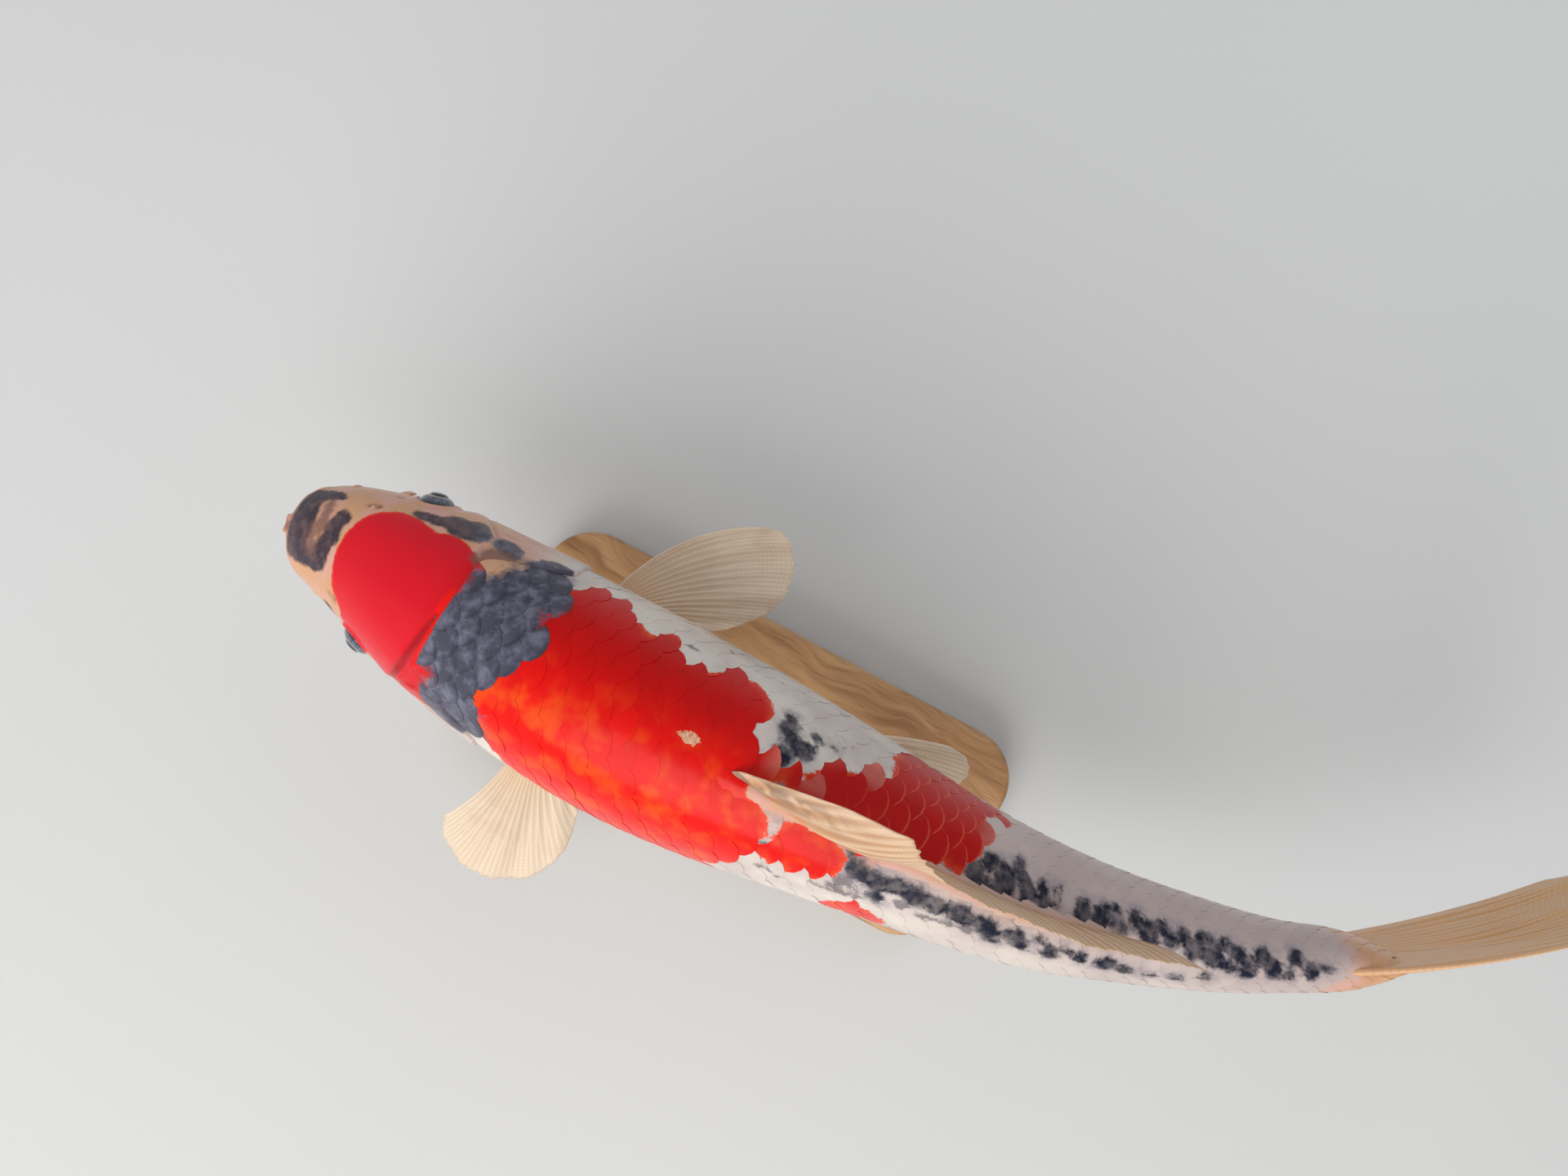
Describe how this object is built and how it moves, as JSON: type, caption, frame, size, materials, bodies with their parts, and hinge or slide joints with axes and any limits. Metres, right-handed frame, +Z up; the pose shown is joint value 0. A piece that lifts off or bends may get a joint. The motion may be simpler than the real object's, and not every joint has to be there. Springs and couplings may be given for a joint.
{
  "type": "koi carp",
  "caption": "Life-size koi carp in a gentle swimming bend with spread pectoral fins and a folded-back dorsal fin, held over a flat display base by short rods.",
  "frame": {"origin": "centre of the underside of the display base", "axes": "+X from head to tail, +Y towards the fish's right side, +Z up"},
  "size_m": [0.4459, 0.1881, 0.1986],
  "materials": {
    "head_skin": "wet gloss over smooth scaleless skin, red with a tan and dark snout",
    "mouth_skin": "soft satin skin, tan",
    "body_skin": "wet gloss over rows of scales, pale with red and blue-black patches",
    "fin": "thin rayed membrane, pale tan, slightly see-through",
    "eye": "high gloss, dark pupil in a pale ring",
    "stand_base": "satin lacquer",
    "stand_rod": "brushed"
  },
  "bodies": {
    "root": {"head": "head_skin", "lower_jaw": "mouth_skin", "lip_upper": "mouth_skin", "lip_lower": "mouth_skin", "gill_cover_left": "head_skin", "gill_cover_right": "head_skin", "eye_left": "eye", "eye_right": "eye", "barbel_front_left": "mouth_skin", "barbel_front_right": "mouth_skin", "barbel_corner_left": "mouth_skin", "barbel_corner_right": "mouth_skin", "trunk_front": "body_skin", "trunk_rear": "body_skin", "tail_stalk": "body_skin", "dorsal_fin": "fin", "anal_fin": "fin", "caudal_fin_upper": "fin", "caudal_fin_lower": "fin", "pectoral_fin_left": "fin", "pectoral_fin_right": "fin", "pelvic_fin_left": "fin", "pelvic_fin_right": "fin", "stand_base": "stand_base", "stand_rod_front": "stand_rod", "stand_rod_rear": "stand_rod"}
  },
  "joints": []
}
